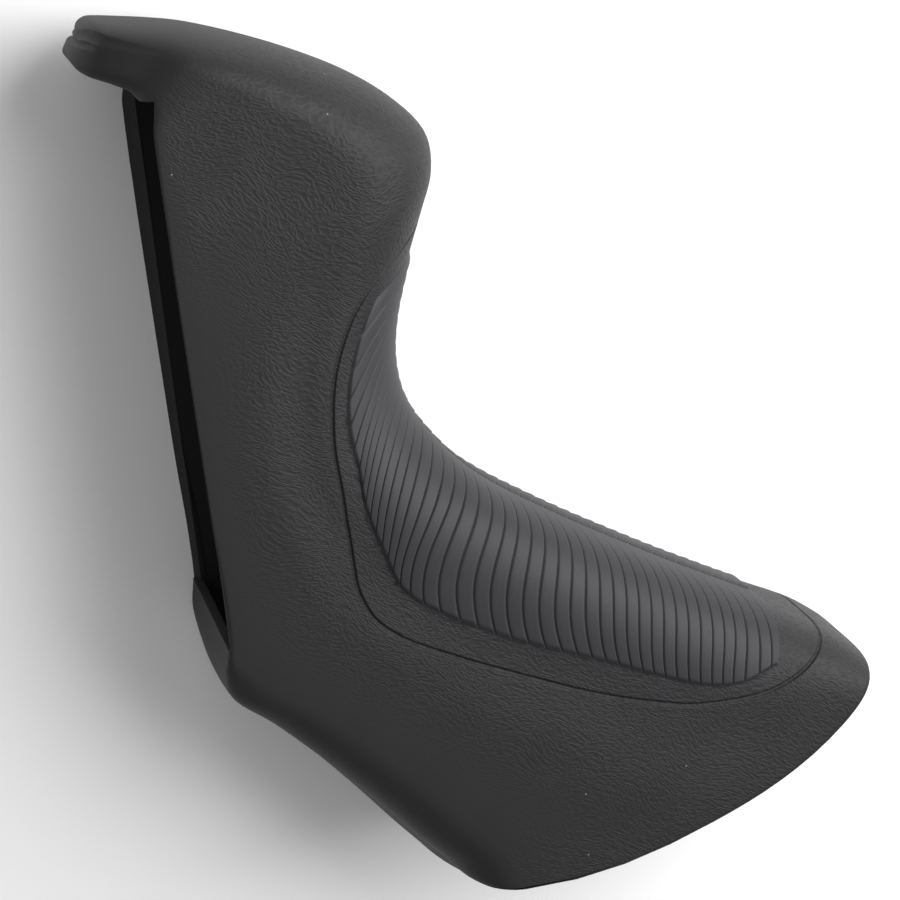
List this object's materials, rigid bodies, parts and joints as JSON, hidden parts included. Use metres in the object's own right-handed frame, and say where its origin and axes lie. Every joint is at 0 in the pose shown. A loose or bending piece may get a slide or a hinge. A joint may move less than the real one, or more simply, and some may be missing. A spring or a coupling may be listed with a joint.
{
  "type": "brake lever hood",
  "caption": "Moulded rubber hood of a road brake lever: tall horn with a visor, front window, ribbed palm rest and open oblique rear end.",
  "frame": {"origin": "centre of the bounding box at its lowest face, on which the hood lies on its side", "axes": "+X rearwards along the palm rest, +Y up on the bicycle towards the horn, +Z sideways out of the upper side panel"},
  "size_m": [0.1336, 0.0928, 0.033],
  "materials": {
    "rubber": "matte charcoal rubber with a fine leather grain and satin ribs"
  },
  "bodies": {
    "root": {"lever_hood": "rubber"}
  },
  "joints": []
}
